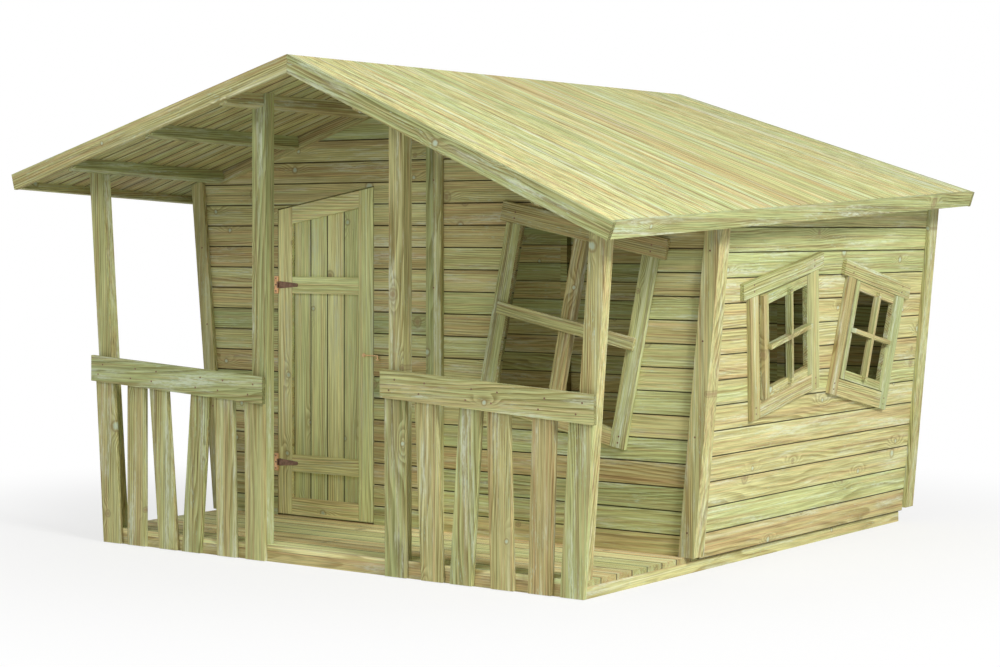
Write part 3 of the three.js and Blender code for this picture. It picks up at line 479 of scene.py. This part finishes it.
def object_coordinates(g, kind="Object"):
    return g.node("ShaderNodeTexCoord").outputs[kind]


def boards_at(g, position, along, across, first=0.0, width=50.0):
    """A board place for boards that run along one direction."""
    through = Vector(along).cross(Vector(across))
    return g.group(PLACE, Position=position, Board_Width=width, First_Joint=first,
                   Along=tuple(along), Across=tuple(across), Through=tuple(through)).outputs


def finish_timber(g, shader, kind, place, board, bump=WOOD_BUMP, recolour=None):
    """Feeds the shader with a kind of pine, and lets recolour change its colour."""
    pine = g.group(PINE, Place=place, Board=board, Seed=next(seeds), **TIMBER[kind]).outputs
    bumped = g.node("ShaderNodeBump", Strength=bump, Distance=0.0016, Height=pine["Height"])
    g.feed(shader, "Base Color", recolour(pine["Color"]) if recolour else pine["Color"])
    g.feed(shader, "Roughness", pine["Roughness"])
    g.feed(shader, "Normal", bumped.outputs[0])
    g.feed(shader, "Specular IOR Level", 0.3)


def dress(node, material):
    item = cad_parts[node]
    item.data.materials.clear()
    item.data.materials.append(material)


def timber(node, kind, along, across, first=0.0, width=50.0, line=None):
    """Boards or a single member, with darker ends and, where line is set, a line at each joint."""
    material, g, shader = start_material(f"{node} pine")
    boards = boards_at(g, object_coordinates(g), along, across, first, width)
    normal = object_coordinates(g, "Normal")

    def faces(direction):
        way = tuple(Vector(direction).normalized())
        return g.math("ABSOLUTE", g.vector("DOT_PRODUCT", normal, way))

    def cut(colour):
        colour = g.tint(g.math("GREATER_THAN", faces(along), 0.9), colour, END_SHADE)
        if line:
            joint = g.group(JOINT, Share=boards["Share"], Board_Width=width, Half_Width=line)
            beside = g.math("LESS_THAN", faces(across), 0.95)
            joint = g.math("MULTIPLY", joint.outputs["Line"], beside)
            colour = g.blend(g.math("MULTIPLY", joint, 0.9), colour, JOINT_SHADE)
        return colour

    finish_timber(g, shader, kind, boards["Place"], boards["Board"], recolour=cut)
    dress(node, material)


def framed_timber(node, kind, origin, run, rise, is_upright):
    """A frame in which uprights and rails each have the grain along themselves."""
    material, g, shader = start_material(f"{node} pine")
    local = g.vector("SUBTRACT", object_coordinates(g), tuple(origin))
    flat = boards_at(g, local, run, rise)["Place"]
    tall = boards_at(g, local, rise, run)["Place"]
    place = g.split(flat)
    upright, number = is_upright(g, place[0], place[1])
    finish_timber(g, shader, kind, g.choose(upright, flat, tall), number)
    dress(node, material)


def other(g, mask):
    return g.math("SUBTRACT", 1.0, mask)


def rect_frame(half_wide, half_high):
    """Jambs that run up to a head, with a sill between them."""
    def split(g, u, v):
        beside = g.math("GREATER_THAN", g.math("ABSOLUTE", u), half_wide)
        below = g.math("LESS_THAN", v, half_high)
        upright = g.math("MULTIPLY", beside, below)
        side = g.math("MULTIPLY", g.math("SIGN", u), upright)
        level = g.math("MULTIPLY", other(g, upright), g.math("SIGN", v))
        return upright, g.math("MULTIPLY_ADD", level, 3.0, side)
    return split


def stiles_and_levels(g, u, v, stile, upright, levels_per_metre):
    """Numbers the left and right stile, and each level member by its height."""
    side = g.math("MULTIPLY", g.math("SIGN", u), stile)
    height = g.math("ROUND", g.math("MULTIPLY", v, levels_per_metre))
    level = g.math("MULTIPLY", other(g, upright), height)
    return upright, g.math("MULTIPLY_ADD", level, 3.0, side)


def sash_frame(g, u, v):
    """Stiles, rails and two crossing bars."""
    stile = g.math("GREATER_THAN", g.math("ABSOLUTE", u), SASH_STILE)
    bar = g.math("LESS_THAN", g.math("ABSOLUTE", u), SASH_BAR_HALF)
    inside = g.math("LESS_THAN", g.math("ABSOLUTE", v), SASH_STILE)
    upright = g.math("MAXIMUM", stile, g.math("MULTIPLY", bar, inside))
    return stiles_and_levels(g, u, v, stile, upright, 6.0)


def door_stiles(g, u, v):
    stile = g.math("GREATER_THAN", g.math("ABSOLUTE", u), DOOR_WIDE / 2 - DOOR_STILE)
    return stiles_and_levels(g, u, v, stile, stile, 4.0)


def mullion_and_bar(g, u, v):
    """An upright mullion with a level bar across its middle."""
    upright = g.math("GREATER_THAN", g.math("ABSOLUTE", v), FRONT_BAR_HALF)
    return upright, g.math("MULTIPLY", upright, 3.0)


def purlins_and_rafter(g, u, v):
    """Purlins from front to rear, tied by a rafter down the slope."""
    rafter = g.math("LESS_THAN", g.math("ABSOLUTE", u), RAFTER_THICK / 2 + 0.0005)
    purlin = g.math("MULTIPLY", other(g, rafter), g.math("ROUND", g.math("MULTIPLY", v, 5.0)))
    return rafter, g.math("MULTIPLY_ADD", rafter, 20.0, purlin)


def side_of(hand):
    return -1 if hand == "left" else 1


def slope_reach(drop):
    """How far out a slope ends that drops so far."""
    return math.sqrt(SLOPE_LONG ** 2 - drop ** 2)


def slope_direction(hand, end):
    """Down the slope, seen from the front: at the front edge, the rear edge or half way."""
    front, rear = DROPS[hand]
    drop = {"front": front, "rear": rear, "middle": (front + rear) / 2}[end]
    return Vector((side_of(hand) * slope_reach(drop), 0, -drop)).normalized()


def roof_point(hand, y, along, depth):
    """A point of a slope, by its place from front to rear, its way down the slope and its depth."""
    front, rear = DROPS[hand]
    share = y / ROOF_LONG + 0.5
    drop = front + (rear - front) * share
    reach = slope_reach(front) * (1 - share) + slope_reach(rear) * share
    long = math.hypot(drop, reach)
    ridge = RIDGE_HIGH - depth * long / reach
    eave = RIDGE_HIGH - drop - depth * reach / long
    down = along / SLOPE_LONG
    out = side_of(hand) * (reach - depth * drop / long) * down
    return Vector((out, y, ridge + (eave - ridge) * down))


def board_profile(near, far):
    """A roof board's section, as places and depths: reeds on top, bevelled edges below."""
    low, high = near + SEAT_GAP, far - SEAT_GAP
    pitch = (high - low) / REEDS_PER_BOARD
    joint_deep, hollow_deep, bevel_wide, bevel_deep = 0.0022, 0.0013, 0.0025, 0.004
    top = [(low, joint_deep)]
    for reed in range(REEDS_PER_BOARD):
        if reed:
            top.append((low + reed * pitch, hollow_deep))
        top += [(low + (reed + share) * pitch, depth)
                for share, depth in ((0.2, 0.0003), (0.5, 0.0), (0.8, 0.0003))]
    return top + [
        (high, joint_deep),
        (high, ROOF_THICK - bevel_deep),
        (high - bevel_wide, ROOF_THICK),
        (low + bevel_wide, ROOF_THICK),
        (low, ROOF_THICK - bevel_deep),
    ]


def add_object(name, data):
    made = bpy.data.objects.new(name, data)
    bpy.context.scene.collection.objects.link(made)
    return made


def add_shape(shape, name, material):
    """Turns a shape into a mesh object."""
    mesh = bpy.data.meshes.new(name)
    shape.to_mesh(mesh)
    shape.free()
    mesh.materials.append(material)
    return add_object(name, mesh)


def piece_from(shape, name, material, body):
    """Turns a shape into a piece that rides on a body and takes the given material."""
    piece = add_shape(shape, name, material)
    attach(piece, body)
    return piece


def reeded_boards(hand, material):
    """The boards of a slope, each a prism from the ridge to the eave."""
    shape = bmesh.new()
    for board in range(ROOF_BOARDS):
        near = -ROOF_ENDS + board * ROOF_BOARD
        section = board_profile(near, near + ROOF_BOARD)
        ridge, eave = ([shape.verts.new(roof_point(hand, y, along, depth)) for y, depth in section]
                       for along in (SEAT_GAP, EAVE_END))
        shape.faces.new(ridge)
        shape.faces.new(reversed(eave))
        for place in range(len(section)):
            shape.faces.new((ridge[place - 1], eave[place - 1], eave[place], ridge[place]))
    bmesh.ops.recalc_face_normals(shape, faces=shape.faces)
    piece = piece_from(shape, f"roof_boards_{hand}", material, "house")
    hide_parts(f"roof_panel_{hand}")


def roof_boards(hand):
    """Boards down the slope, reeded on top, with painted shade darkening the hollows of the reeds
    and the underside.
    """
    material, g, shader = start_material(f"roof boards {hand} pine")
    down = slope_direction(hand, "middle")
    boards = boards_at(g, object_coordinates(g), down, Y, -ROOF_ENDS, ROOF_BOARD)
    facing = g.split(g.node("ShaderNodeNewGeometry").outputs["Normal"])[2]
    top = g.math("GREATER_THAN", facing, 0.2)
    # Painted shade on the underside of the boards.
    under = g.math("MULTIPLY", other(g, top), 0.75)
    reeds = g.group(REEDS, Share=boards["Share"], Reeds=float(REEDS_PER_BOARD)).outputs["Hollow"]
    # Painted shade in the hollows between the reeds, on the top faces only.
    hollow = g.math("MULTIPLY", g.math("MULTIPLY", reeds, top), 0.35)
    joint_half = g.math("MULTIPLY_ADD", top, -0.0022, 0.0036)
    joint = g.group(JOINT, Share=boards["Share"], Board_Width=ROOF_BOARD, Half_Width=joint_half)
    joint = g.math("MULTIPLY", joint.outputs["Line"], 0.85)

    # Lays the painted shade of the hollows and of the underside, and the dark joints, over the
    # wood.
    def reeded(colour):
        colour = g.blend(hollow, colour, PAINTED_HOLLOW_SHADE)
        colour = g.tint(under, colour, PAINTED_UNDERSIDE_SHADE)
        return g.blend(joint, colour, ROOF_JOINT_SHADE)

    drawn_out = g.vector("MULTIPLY", boards["Place"], (0.35, 1.0, 1.0))
    finish_timber(g, shader, "roof", drawn_out, boards["Board"], ROOF_BUMP, reeded)
    dress(f"roof_panel_{hand}", material)
    reeded_boards(hand, material)


def side_window_axes(spot):
    """A side window's middle, and its directions along its sill and up its jambs."""
    lean = Vector((math.sin(WALL_LEAN), 0, math.cos(WALL_LEAN)))
    foot = Vector((SIDE_WALL_FOOT - math.tan(WALL_LEAN) * SIDING_LOW, 0, 0))
    turn = spot["tilt"]
    return (
        foot + Y * spot["along"] + lean * spot["high"],
        Y * math.cos(turn) + lean * math.sin(turn),
        lean * math.cos(turn) - Y * math.sin(turn),
    )


def front_window_axes():
    """The front window's middle, and its directions along its sill and up its jambs."""
    turn = FRONT_WINDOW["tilt"]
    return (
        Vector(FRONT_WINDOW["place"]),
        Vector((math.cos(turn), 0, math.sin(turn))),
        Vector((-math.sin(turn), 0, math.cos(turn))),
    )


def leaning(side, angle):
    return Vector((side * math.sin(angle), 0, math.cos(angle)))


def dress_base():
    for node in ("base_side_beam_left", "base_side_beam_right", "base_middle_joist"):
        timber(node, "siding", Y, Z)
    for node in ("base_front_beam", "base_rear_beam"):
        timber(node, "siding", X, Z)
    timber("veranda_deck", "deck", X, Y, VERANDA_FRONT, VERANDA_BOARD, VERANDA_JOINT)
    timber("house_floor", "deck", X, Y, FLOOR_FRONT, FLOOR_BOARD, FLOOR_JOINT)


def dress_walls():
    for node in ("front_wall_left", "front_wall_right", "rear_wall"):
        timber(node, "siding", X, Z, SIDING_LOW, GABLE_COVER, SIDING_JOINT)
    stretch = 1 / math.cos(WALL_LEAN)
    for node in ("left_wall", "right_wall"):
        timber(node, "siding", Y, Z * stretch, SIDING_LOW, SIDE_COVER, SIDING_JOINT)


def dress_trims():
    fall = math.atan2(-RAIL_FALL, RAIL_LONG)
    for hand in ("left", "right"):
        side = side_of(hand)
        for end in ("front", "rear"):
            timber(f"corner_trim_{end}_{hand}", "trim", leaning(side, WALL_LEAN), X)
        timber(f"outer_post_{hand}", "trim", leaning(side, POST_LEAN), X)
        timber(f"middle_post_{hand}", "trim", Z, X)
        timber(f"hand_rail_{hand}", "trim", (math.cos(fall), 0, math.sin(fall)), Z)
        for number, way in enumerate(PICKET_SIDES[hand], 1):
            node = f"picket_{hand}_{number}"
            low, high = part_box(node)
            lean = math.atan2(max(0.0, high[0] - low[0] - PICKET_WIDE), high[2] - low[2])
            timber(node, "trim", leaning(way, lean), X)
    timber("front_cover_batten", "trim", Z, X)


def dress_roof():
    for hand in ("left", "right"):
        roof_boards(hand)
        down = slope_direction(hand, "middle")
        framed_timber(f"roof_frame_{hand}", "frame", (0, RAFTER_MIDDLE, 0), Y, down,
                      purlins_and_rafter)
        timber(f"fascia_{hand}", "trim", Y, Z)
        for end in ("front", "rear"):
            down = slope_direction(hand, end)
            timber(f"barge_{end}_{hand}", "trim", down, down.cross(Y))


def dress_windows():
    axes = front_window_axes()
    framed_timber("front_window_frame", "trim", *axes, rect_frame(*FRONT_WINDOW_HALF))
    framed_timber("front_window_bars", "trim", *axes, mullion_and_bar)
    for name, spot in SIDE_WINDOWS.items():
        axes = side_window_axes(spot)
        framed_timber(f"side_window_frame_{name}", "trim", *axes, rect_frame(*SIDE_WINDOW_HALF))
        framed_timber(f"side_window_sash_{name}", "trim", *axes, sash_frame)


def dress_door():
    timber("door_boards", "door", Z, X, DOOR_LEFT + DOOR_STILE, DOOR_BOARD, DOOR_JOINT)
    framed_timber("door_frame", "door", DOOR_CENTRE, X, Z, door_stiles)


def coppered_steel(name, bright, dull, metallic):
    """Steel with a cloudy copper finish that is scratched bright in places."""
    material, g, shader = start_material(name)
    position = object_coordinates(g)
    cloud = g.noise(position, 90.0, 3.0, 0.6)
    scratch = g.noise(g.vector("MULTIPLY", position, (60.0, 60.0, 900.0)))
    tone = g.blend(g.smooth(cloud, 0.35, 0.7), bright, dull)
    worn = tuple(min(1.0, share * 1.5) for share in bright[:3]) + (1,)
    bumped = g.node("ShaderNodeBump", Strength=0.2, Distance=0.0005, Height=scratch)
    g.feed(shader, "Base Color", g.blend(g.smooth(scratch, 0.62, 0.75), tone, worn))
    g.feed(shader, "Roughness", g.smooth(cloud, 0.3, 0.8, 0.28, 0.5))
    g.feed(shader, "Normal", bumped.outputs[0])
    g.feed(shader, "Metallic", metallic)
    return material


def dress_hardware():
    """Dresses hinges and latch, and gives back the dull metal for nails and screws."""
    strap = coppered_steel("dull coppered steel", (0.25, 0.14, 0.085, 1), (0.15, 0.085, 0.05, 1),
                           0.5)
    # The plate's and the latch's light tones are partly their copper finish and partly painted
    # highlight.
    plate = coppered_steel("coppered steel lightened by painted highlight", (0.92, 0.55, 0.28, 1), (0.70, 0.38, 0.17, 1),
                           0.3)
    latch = coppered_steel("copper plating lightened by painted highlight", (1.0, 0.74, 0.44, 1), (0.95, 0.58, 0.28, 1),
                           0.15)
    for name in ("lower", "upper"):
        dress(f"hinge_strap_{name}", strap)
        dress(f"hinge_plate_{name}", plate)
    for node in ("latch_hook", "latch_pin", "latch_eye"):
        dress(node, latch)
    return strap


def fastener_heads(name, body, material, heads, radius, proud):
    """Round heads with a rounded rim and a shallow recess, standing on the faces they hold."""
    shape = bmesh.new()
    for place, out in heads:
        foot, out = Vector(place), Vector(out).normalized()
        turned = out.to_track_quat("Z", "Y").to_matrix().to_4x4()
        spot = Matrix.Translation(foot + out * (proud / 2)) @ turned
        made = bmesh.ops.create_cone(shape, cap_ends=True, segments=12, radius1=radius,
                                     radius2=radius, depth=proud, matrix=spot)["verts"]
        top = [vert for vert in made if (vert.co - foot).dot(out) > proud / 2]
        rim = [edge for edge in {edge for vert in top for edge in vert.link_edges}
               if edge.verts[0] in top and edge.verts[1] in top]
        cap = next(face for face in top[0].link_faces if all(vert in top for vert in face.verts))
        bmesh.ops.inset_individual(shape, faces=[cap], thickness=radius * 0.55)
        bmesh.ops.translate(shape, verts=list(cap.verts), vec=out * (-proud * 0.35))
        bmesh.ops.bevel(shape, geom=rim, offset=proud * 0.45, segments=2, profile=0.5,
                        affect="EDGES", material=-1)
    piece_from(shape, name, material, body)


def rail_nails():
    """Two nails through a rail into each picket."""
    heads = []
    for hand, sides in PICKET_SIDES.items():
        low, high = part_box(f"hand_rail_{hand}")
        for number, side in enumerate(sides, 1):
            near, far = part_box(f"picket_{hand}_{number}")
            x = far[0] - PICKET_WIDE / 2 if side > 0 else near[0] + PICKET_WIDE / 2
            top = high[2] - RAIL_FALL * (x - low[0]) / (high[0] - low[0])
            heads += [((x + aside, low[1], top - below), -Y) for aside, below in RAIL_NAILS]
    return heads


def trim_nails():
    """Nails up the middle of the cover batten and of both boards of each corner."""
    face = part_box("front_cover_batten")[0][1]
    heads = [((0, face, rise), -Y) for rise in COVER_NAIL_RISES]
    front_inset, side_inset = CORNER_NAIL_INSETS
    for hand in ("left", "right"):
        side = side_of(hand)
        away = (side * math.cos(WALL_LEAN), 0, -math.sin(WALL_LEAN))
        for end, way in (("front", -1), ("rear", 1)):
            low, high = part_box(f"corner_trim_{end}_{hand}")
            face = low[1] if way < 0 else high[1]
            for rise in CORNER_NAIL_RISES:
                edge = CORNER_FOOT + math.tan(WALL_LEAN) * (rise - SIDING_LOW)
                heads.append(((side * (edge - front_inset), face, rise), (0, way, 0)))
                beside = (side * edge, face - way * side_inset, rise + CORNER_NAIL_STEP)
                heads.append((beside, away))
    return heads


def window_nails():
    """Two nails at each corner of the window frames."""
    heads = []
    frames = [(front_window_axes(), FRONT_WINDOW_HALF, FRONT_JAMB_MIDDLE)]
    frames += [(side_window_axes(spot), SIDE_WINDOW_HALF, SIDE_JAMB_MIDDLE)
               for spot in SIDE_WINDOWS.values()]
    for (place, run, rise), (wide, high), jamb in frames:
        out = run.cross(rise)
        levels = [high + up for up in HEAD_NAILS] + [-high - down for down in SILL_NAILS]
        for across in (-1, 1):
            for level in levels:
                spot = place + run * across * (wide + jamb) + rise * level + out * FRAME_FACE
                heads.append((spot, out))
    return heads


def add_fasteners(metal):
    nails = rail_nails() + trim_nails() + window_nails()
    fastener_heads("nails_rails_trims_frames", "house", metal, nails, **NAIL)
    strap, plate = [], []
    for name in ("lower", "upper"):
        low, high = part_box(f"hinge_strap_{name}")
        middle = (low[2] + high[2]) / 2
        strap += [((DOOR_LEFT + along, HINGE_FACE, middle + rise), -Y)
                  for along, rise in STRAP_SCREWS]
        plate += [((DOOR_LEFT - PLATE_MIDDLE, HINGE_FACE, middle + rise), -Y)
                  for rise in PLATE_SCREW_RISES]
    fastener_heads("screws_hinge_straps", "door", metal, strap, **SCREW)
    fastener_heads("screws_hinge_plates", "house", metal, plate, **SCREW)


def add_floor():
    """A pale floor that keeps the house's shadow and fades to white away from it."""
    material, g, shader = start_material("pale floor")
    g.feed(shader, "Base Color", (0.86, 0.86, 0.85, 1))
    g.feed(shader, "Roughness", 0.9)
    glow = g.node("ShaderNodeEmission", Color=(1, 1, 1, 1), Strength=1.0)
    share = g.smooth(g.vector("LENGTH", object_coordinates(g)), 1.4, 3.2, 0.7, 1.0)
    mixed = g.node("ShaderNodeMixShader", i0=g.math("MULTIPLY", g.seen(), share),
                   i1=shader.outputs[0], i2=glow.outputs[0])
    g.feed(material.node_tree.nodes["Material Output"], "Surface", mixed.outputs[0])
    shape = bmesh.new()
    bmesh.ops.create_grid(shape, x_segments=1, y_segments=1, size=40)
    floor = add_shape(shape, "pale floor", material)


def add_lamp(name, place, target, size, power):
    data = bpy.data.lights.new(name, "AREA")
    data.shape = "DISK"
    data.size = size
    data.energy = power
    lamp = add_object(name, data)
    lamp.location = place
    lamp.rotation_euler = (Vector(target) - Vector(place)).to_track_quat("-Z", "Y").to_euler()


def add_room_light():
    """A faint light inside, so that the boards behind the windows can be seen."""
    data = bpy.data.lights.new("room light", "POINT")
    data.shadow_soft_size = 0.3
    data.energy = 5
    lamp = add_object("room light", data)
    lamp.location = (-0.4, 0.35, 0.85)
    lamp.visible_camera = False
    lamp.visible_glossy = False


def add_light():
    world = bpy.data.worlds.new("plain studio")
    bpy.context.scene.world = world
    world.use_nodes = True
    world.node_tree.nodes.clear()
    g = Graph(world.node_tree)
    strength = g.math("MULTIPLY_ADD", g.seen(), 0.66, 0.34)
    sky = g.node("ShaderNodeBackground", Color=(1, 1, 1, 1), Strength=strength)
    g.node("ShaderNodeOutputWorld", Surface=sky.outputs[0])
    add_lamp("key lamp", (8.9, -3.0, 5.6), (0.3, -0.1, 0.7), 3.0, 925)
    add_lamp("front lamp", (0.2, -8.0, 4.4), (0, -0.6, 0.6), 3.0, 150)
    add_room_light()


def add_camera():
    """The photograph's view: a level camera whose frame is shifted down."""
    data = bpy.data.cameras.new("camera")
    data.lens = 76.34
    data.sensor_width = 36
    data.sensor_fit = "HORIZONTAL"
    data.shift_y = -0.0997
    camera = add_object("camera", data)
    camera.location = (4.7104, -6.532, 1.1354)
    camera.rotation_euler = (math.radians(90), 0, math.radians(36.018))
    bpy.context.scene.camera = camera


dress_base()
dress_walls()
dress_trims()
dress_roof()
dress_windows()
dress_door()
add_fasteners(dress_hardware())
add_floor()
add_light()
add_camera()
bpy.context.scene.view_settings.view_transform = "Standard"
